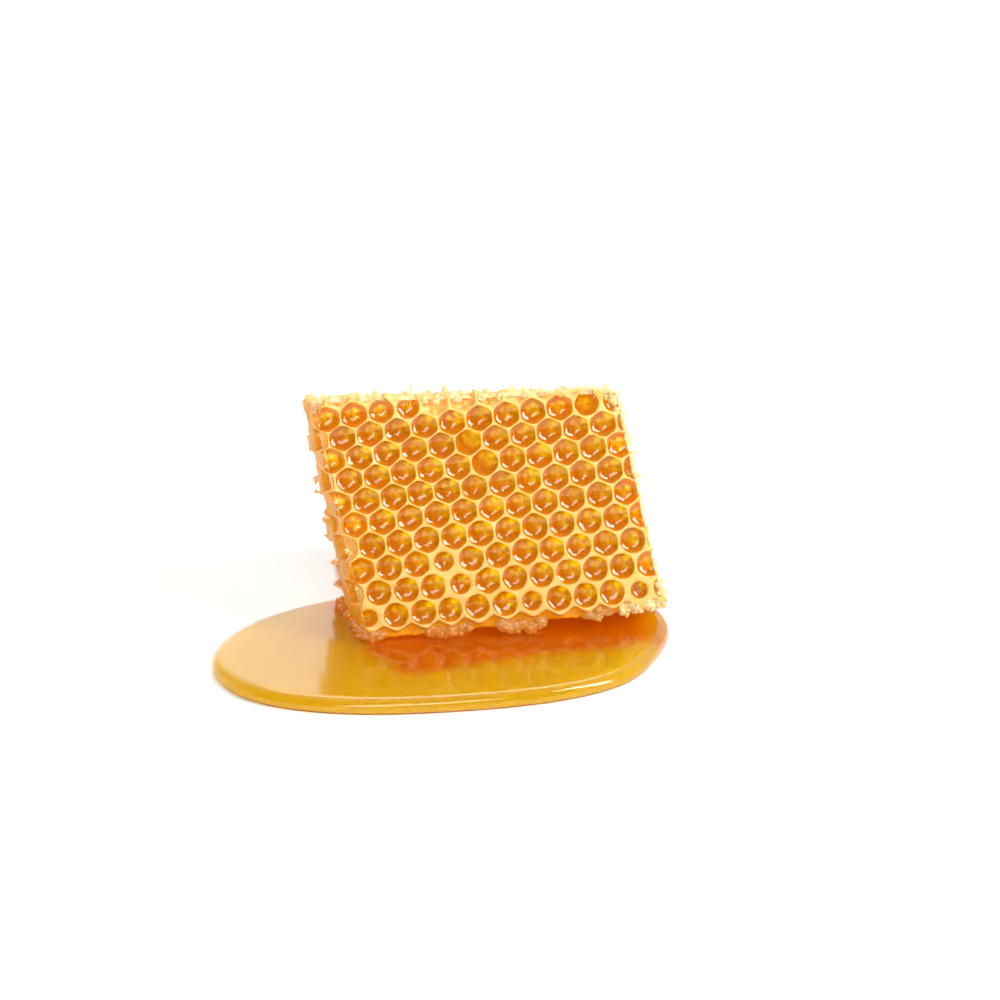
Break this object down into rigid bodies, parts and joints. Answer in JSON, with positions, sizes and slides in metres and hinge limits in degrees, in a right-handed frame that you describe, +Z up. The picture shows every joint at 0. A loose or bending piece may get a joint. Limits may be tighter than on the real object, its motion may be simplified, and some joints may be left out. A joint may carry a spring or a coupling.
{
  "type": "honeycomb piece",
  "caption": "Cut piece of honeycomb leaning slightly back on its lower edge, its cells full of honey, in a flat round-edged pool of the honey that ran out of it",
  "frame": {"origin": "middle of the footprint's bounding box, on the surface the piece stands on", "axes": "+X along the comb's width and the pool's length, +Y away from the comb's front face, +Z up"},
  "size_m": [0.0918, 0.0662, 0.0483],
  "materials": {
    "beeswax": "pale cream-yellow translucent wax, slightly glossy where honey wets it",
    "honey": "clear amber honey, smooth and wet"
  },
  "bodies": {
    "root": {"comb": "beeswax", "honey_pool": "honey"}
  },
  "joints": []
}
